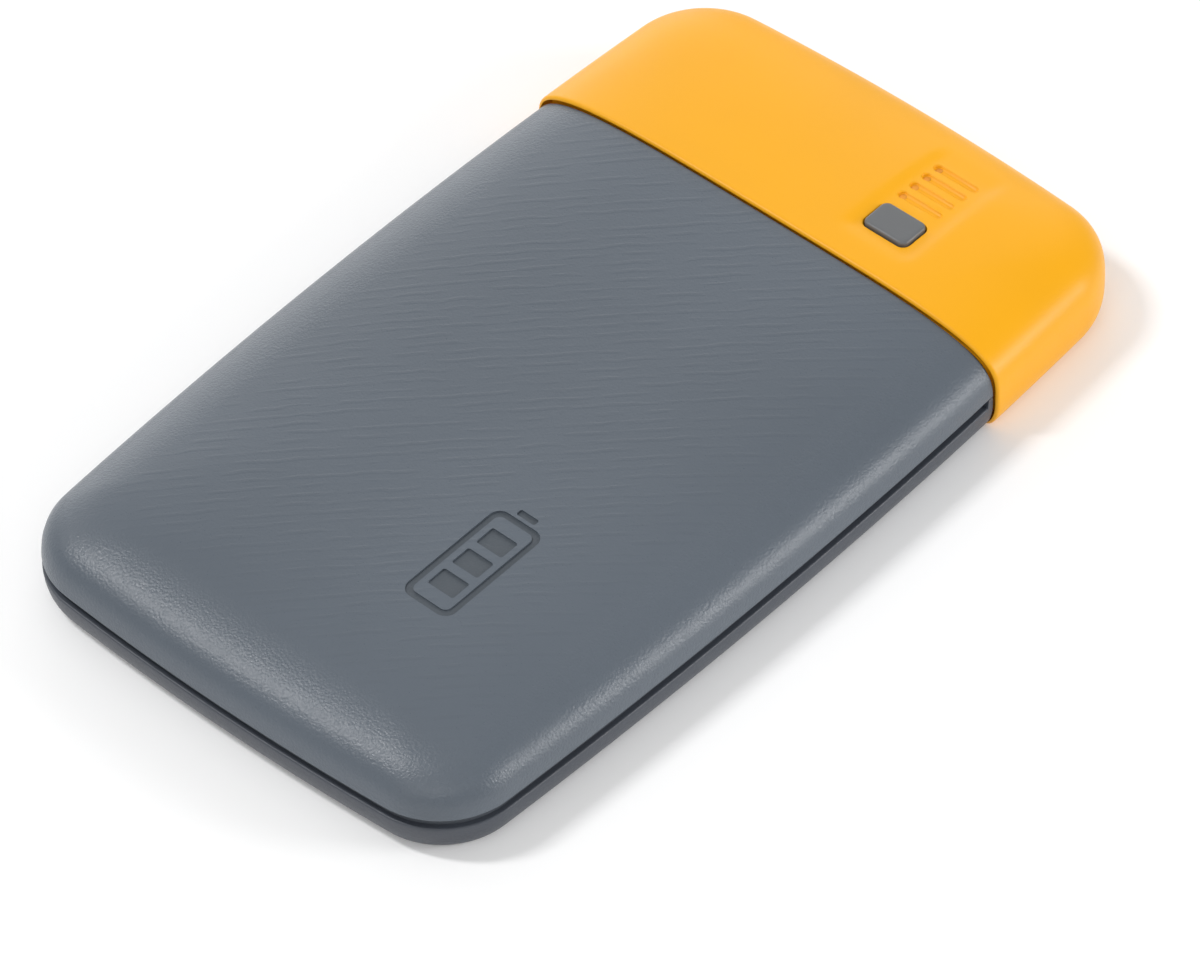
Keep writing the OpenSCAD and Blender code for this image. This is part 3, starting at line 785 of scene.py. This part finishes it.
def plastic(name, colour, gloss, grain=3000.0, depth=0.000012, ribs=None, dust=0.0, level=0.5):
    """Moulded plastic: fine grain, slow change of colour, ribs with painted shade along them, and dust if
    asked.
    """
    # The first value thins the grain on the ribs; the other two paint shade along the ribs.
    rib_grain, rib_painted_shade_share, rib_painted_shade_level = 0.25, 0.13, 0.75
    dust_colour, dust_cover, dust_rough = (0.8, 0.8, 0.8, 1.0), 0.55, 0.3
    made, tree, shader, place = start(name)
    drift = use(tree, DRIFT, Place=place, Scale=22.0).outputs["Drift"]
    skin = use(tree, GRAIN, Place=place, Scale=grain, Depth=depth)
    tint = blend_colour(tree, drift, rgb(colour, 0.965), rgb(colour, 1.035))
    rough = spread(tree, skin.outputs["Mask"], 0.2, 0.8, gloss - 0.03, gloss + 0.05)
    height = skin.outputs["Height"]
    if ribs:
        # The grain is shallower where the ribs are.
        lines = use(tree, RIBS, Place=place, **ribs)
        bare = spread(tree, lines.outputs["Field"], 0.0, 1.0, 1.0, rib_grain)
        height = maths(tree, "ADD", maths(tree, "MULTIPLY", height, bare), lines.outputs["Height"])
        # Painted shade: the colour goes darker along the rib crests, standing in for the light and shade
        # that the ribs catch.
        share = maths(tree, "MULTIPLY", lines.outputs["Mask"], rib_painted_shade_share)
        tint = blend_colour(tree, share, tint, rgb(colour, rib_painted_shade_level))
    if dust:
        specks = use(tree, DUST, Place=place, Size=dust).outputs["Specks"]
        tint = blend_colour(tree, maths(tree, "MULTIPLY", specks, dust_cover), tint, dust_colour)
        rough = maths(tree, "ADD", rough, maths(tree, "MULTIPLY", specks, dust_rough), clamp=True)
    tree.links.new(tint, shader.inputs["Base Color"])
    tree.links.new(rough, shader.inputs["Roughness"])
    bumped(tree, shader, height)
    shader.inputs["Specular IOR Level"].default_value = level
    return made


def metal(name, colour, gloss, stretch=(1.0, 1.0, 1.0)):
    """Plated or rolled metal with fine lines that run square to the axis with the larger stretch."""
    grain, depth = 900.0, 0.000004
    made, tree, shader, place = start(name)
    drawn = node(tree, "ShaderNodeMapping", None, Vector=place, Scale=stretch).outputs[0]
    lines = noise(tree, drawn, grain, 3.0, 0.6)
    drift = use(tree, DRIFT, Place=place, Scale=90.0).outputs["Drift"]
    tint = blend_colour(tree, drift, rgb(colour, 0.9), rgb(colour, 1.05))
    tree.links.new(tint, shader.inputs["Base Color"])
    tree.links.new(spread(tree, lines, 0.3, 0.7, gloss - 0.08, gloss + 0.1), shader.inputs["Roughness"])
    shader.inputs["Metallic"].default_value = 1.0
    bumped(tree, shader, maths(tree, "MULTIPLY", lines, depth))
    return made


def clear_plastic(name):
    """Milky, warm light-pipe plastic."""
    deep, pale = (0.7, 0.27, 0.01, 1), (0.8, 0.33, 0.02, 1)
    made, tree, shader, place = start(name)
    drift = use(tree, DRIFT, Place=place, Scale=200.0).outputs["Drift"]
    tree.links.new(blend_colour(tree, drift, deep, pale), shader.inputs["Base Color"])
    tree.links.new(spread(tree, drift, 0.0, 1.0, 0.25, 0.35), shader.inputs["Roughness"])
    return made


def circuit_board(name):
    """Green solder mask, paler and raised over a net of copper tracks."""
    mask, mask_dark = (0.012, 0.075, 0.035, 1), (0.01, 0.06, 0.03, 1)
    track, wash = (0.03, 0.16, 0.07, 1), (0.02, 0.1, 0.05, 1)
    made, tree, shader, place = start(name)
    tracks = node(tree, "ShaderNodeTexBrick", {"offset": 0.5}, Vector=place, Scale=420.0,
                  Mortar_Size=0.06, Color1=mask, Color2=mask_dark, Mortar=track)
    drift = use(tree, DRIFT, Place=place, Scale=60.0).outputs["Drift"]
    share = maths(tree, "MULTIPLY", drift, 0.5)
    tree.links.new(blend_colour(tree, share, tracks.outputs["Color"], wash), shader.inputs["Base Color"])
    tree.links.new(spread(tree, drift, 0.0, 1.0, 0.3, 0.42), shader.inputs["Roughness"])
    bumped(tree, shader, maths(tree, "MULTIPLY", tracks.outputs["Fac"], 0.00003))
    return made


def crinkled_foil(name):
    """Pouch foil: soft silver with shallow wrinkles."""
    dull, bright = (0.6, 0.61, 0.63, 1), (0.74, 0.75, 0.77, 1)
    made, tree, shader, place = start(name)
    folds = node(tree, "ShaderNodeTexVoronoi", {"feature": "SMOOTH_F1"},
                 Vector=place, Scale=110.0, Smoothness=0.8).outputs["Distance"]
    drift = use(tree, DRIFT, Place=place, Scale=40.0).outputs["Drift"]
    tree.links.new(blend_colour(tree, drift, dull, bright), shader.inputs["Base Color"])
    tree.links.new(spread(tree, folds, 0.1, 0.6, 0.28, 0.4), shader.inputs["Roughness"])
    shader.inputs["Metallic"].default_value = 0.9
    bumped(tree, shader, maths(tree, "MULTIPLY", folds, 0.0004))
    return made


# ---------------------------------------------------------------- finishes
# One finish for each material slot of the record. A plastic gives its colour, gloss, grains a metre
# and depth of grain in metres. Gloss is given as roughness, so a low number is shiny.
COVER_RIBS = {"Pitch": 0.00154, "Depth": 0.000015, "Clear_Side": 0.027, "Clear_End": -0.0605}
FINISH = {
    "body_grey": plastic("Slate cover plastic", (0.1, 0.12, 0.145), 0.3, 2900.0, 0.000065,
                         ribs=COVER_RIBS, dust=0.035),
    "base_grey": plastic("Lower cover plastic", (0.055, 0.063, 0.079), 0.4, 2600.0, 0.00003),
    "frame_black": plastic("Frame plastic", (0.07, 0.08, 0.095), 0.5, 2600.0, 0.00001),
    "cap_orange": plastic("Orange cap plastic", (0.87, 0.395, 0.002), 0.38, 3200.0, 0.000006, level=0.36),
    "key_grey": plastic("Key plastic", (0.125, 0.13, 0.135), 0.4, 3200.0, 0.000008),
    "clear": clear_plastic("Tinted light pipe"),
    "cell_foil": crinkled_foil("Pouch foil"),
    "tape": plastic("White tape", (0.75, 0.75, 0.7), 0.7, 1500.0, 0.00003),
    "foam": plastic("Grey foam", (0.06, 0.06, 0.065), 0.9, 900.0, 0.0002),
    "nickel": metal("Nickel strip", (0.62, 0.58, 0.52), 0.3, (1, 8, 1)),
    "amber_film": plastic("Amber film", (0.62, 0.25, 0.02), 0.2, 700.0, 0.00001),
    "wire_red": plastic("Red wire jacket", (0.5, 0.02, 0.02), 0.45, 1200.0, 0.00001),
    "wire_black": plastic("Black wire jacket", (0.02, 0.02, 0.02), 0.45, 1200.0, 0.00001),
    "epoxy_black": plastic("Black bead", (0.015, 0.015, 0.017), 0.15, 800.0, 0.00001),
    "board_green": circuit_board("Solder mask"),
    "screw_steel": metal("Zinc screw", (0.58, 0.58, 0.6), 0.3),
    "port_steel": metal("Port steel", (0.66, 0.67, 0.69), 0.24, (1, 6, 1)),
    "port_insulator": plastic("White insulator", (0.78, 0.78, 0.75), 0.35, 2500.0, 0.000005),
    "port_black": plastic("Black insulator", (0.02, 0.02, 0.022), 0.35, 2500.0, 0.000005),
    "contact_gold": metal("Gold contact", (0.83, 0.58, 0.22), 0.2, (1, 10, 1)),
    "led_white": plastic("Light-emitting diode", (0.8, 0.8, 0.68), 0.3, 2500.0, 0.000005),
    "ferrite": plastic("Ferrite", (0.05, 0.05, 0.055), 0.6, 1500.0, 0.00002),
    "chip_black": plastic("Chip package", (0.02, 0.02, 0.022), 0.5, 3000.0, 0.000006),
    "can_aluminium": metal("Aluminium can", (0.78, 0.78, 0.8), 0.3, (1, 1, 5)),
    "ceramic": plastic("Chip ceramic", (0.35, 0.24, 0.14), 0.45, 1500.0, 0.00001),
}
# A darker copy of the cover plastic: painted shade for the floor of the sunk battery sign.
SIGN_PAINTED_SHADE = plastic("Cover plastic with painted sign shade", (0.062, 0.075, 0.09), 0.5, 2900.0, 0.00004)


def finish(piece, slot):
    """Gives a piece the finish of a slot."""
    piece.data.materials.clear()
    piece.data.materials.append(FINISH[slot])


def stand_for(piece, cad_node, body, slot):
    """Finishes a piece and lets it take a CAD node's place on a body."""
    finish(piece, slot)
    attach(piece, body)
    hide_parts(cad_node)


# ---------------------------------------------------------------- camera, light and floor
def make_camera():
    """Long lens, high over the corner between the near end and the +X side."""
    azimuth, elevation, roll = math.radians(42.616), math.radians(46.522), math.radians(-1.458)
    distance, aim = 1098.07, Vector((6.97, MID_Y - 3.89, 0))
    sensor_width, lens = 36, 264.17
    level = math.cos(elevation)
    back = Vector((math.sin(azimuth) * level, -math.cos(azimuth) * level, math.sin(elevation)))
    side = Vector((0, 0, 1)).cross(back).normalized()
    up = back.cross(side)
    right = side * math.cos(roll) + up * math.sin(roll)
    top = up * math.cos(roll) - side * math.sin(roll)
    data = bpy.data.cameras.new("camera")
    data.sensor_width, data.lens = sensor_width, lens
    data.clip_start, data.clip_end = 0.01, 20
    camera = bpy.data.objects.new("camera", data)
    bpy.context.collection.objects.link(camera)
    place = Matrix((right, top, back)).transposed().to_4x4()
    place.translation = (aim + back * distance) * MM
    camera.matrix_world = place
    bpy.context.scene.camera = camera


def soft_box(name, towards, distance, width, height, power):
    """White area light in a direction from the case, aimed back at it."""
    data = bpy.data.lights.new(name, "AREA")
    data.shape, data.size, data.size_y = "RECTANGLE", width, height
    data.energy = power
    light = bpy.data.objects.new(name, data)
    bpy.context.collection.objects.link(light)
    direction = Vector(towards).normalized()
    light.location = direction * distance
    light.rotation_mode = "QUATERNION"
    light.rotation_quaternion = direction.to_track_quat("Z", "Y")


# Soft boxes: name, direction from the case, distance, width and height in metres, power in watts.
SOFT_BOXES = (
    ("top_box", (-0.466, -0.3, 0.835), 1.2, 0.1, 0.3, 5.8),
    ("camera_box", (0.5, -0.7, 0.9), 1.4, 0.9, 0.7, 2.6),
    ("front_box", (0.1, -0.9, 0.6), 1.3, 0.9, 0.7, 1.4),
    ("back_box", (-0.55, 0.75, 0.5), 1.3, 0.9, 0.7, 2.1),
    ("left_box", (-0.85, 0.5, 0.14), 1.3, 0.9, 0.5, 3.0),
    ("upper_left_box", (-0.9, 0.1, 0.5), 1.3, 0.9, 0.7, 1.0),
    ("overhead_box", (0.0, 0.0, 1.0), 1.3, 1.0, 1.0, 0.9),
    ("right_box", (0.81, 0.51, 0.3), 1.1, 0.35, 0.5, 5.6),
)
# Strength of the white world, as a light and as the camera sees it.
WORLD_LIGHT, WORLD_SEEN = 0.38, 0.98


def make_light():
    """Makes a dim white world that the camera sees as bright, and the soft boxes."""
    world = bpy.data.worlds.new("studio")
    bpy.context.scene.world = world
    world.use_nodes = True
    tree = world.node_tree
    seen = tree.nodes.new("ShaderNodeLightPath").outputs["Is Camera Ray"]
    air = tree.nodes["Background"]
    air.inputs["Color"].default_value = (1.0, 1.0, 1.0, 1.0)
    gain = maths(tree, "MULTIPLY", seen, WORLD_SEEN - WORLD_LIGHT)
    tree.links.new(maths(tree, "ADD", gain, WORLD_LIGHT), air.inputs["Strength"])
    for row in SOFT_BOXES:
        soft_box(*row)


def make_stage():
    """White floor that glows a little, and more with distance, so that it stays pale to its edge."""
    white, white_cool = (0.9, 0.9, 0.9, 1), (0.88, 0.88, 0.885, 1)
    glow_near, glow_far = (0.1, 0.1, 0.1, 1), (0.62, 0.62, 0.62, 1)
    near_edge, far_edge = 0.35, 1.6
    floor = make_floor()
    made, tree, shader, place = start("White sweep")
    drift = use(tree, DRIFT, Place=place, Scale=2.0).outputs["Drift"]
    tree.links.new(blend_colour(tree, drift, white_cool, white), shader.inputs["Base Color"])
    tree.links.new(spread(tree, drift, 0.0, 1.0, 0.7, 0.8), shader.inputs["Roughness"])
    shader.inputs["Specular IOR Level"].default_value = 0.1
    reach = node(tree, "ShaderNodeVectorMath", {"operation": "LENGTH"}, _0=place).outputs["Value"]
    far = spread(tree, reach, near_edge, far_edge, 0.0, 1.0)
    tree.links.new(blend_colour(tree, far, glow_near, glow_far), shader.inputs["Emission Color"])
    shader.inputs["Emission Strength"].default_value = 1.0
    floor.data.materials.append(made)


make_camera()
make_light()
make_stage()
view = bpy.context.scene.view_settings
view.view_transform, view.look = "Standard", "None"

# ---------------------------------------------------------------- assembly
top_cover = make_top_cover()
stand_for(top_cover, "top_cover", "case", "body_grey")
engrave(top_cover)
stand_for(make_bottom_cover(), "bottom_cover", "case", "base_grey")
stand_for(make_end_cap(), "end_cap", "case", "cap_orange")
stand_for(make_key(), "power_button", "button", "key_grey")

replaced = {"top_cover", "bottom_cover", "end_cap", "power_button"}
for part in frame["record"]["subparts"]:
    if part["node"] not in replaced:
        finish(frame["nodes"][part["node"]], part["material_slot"])
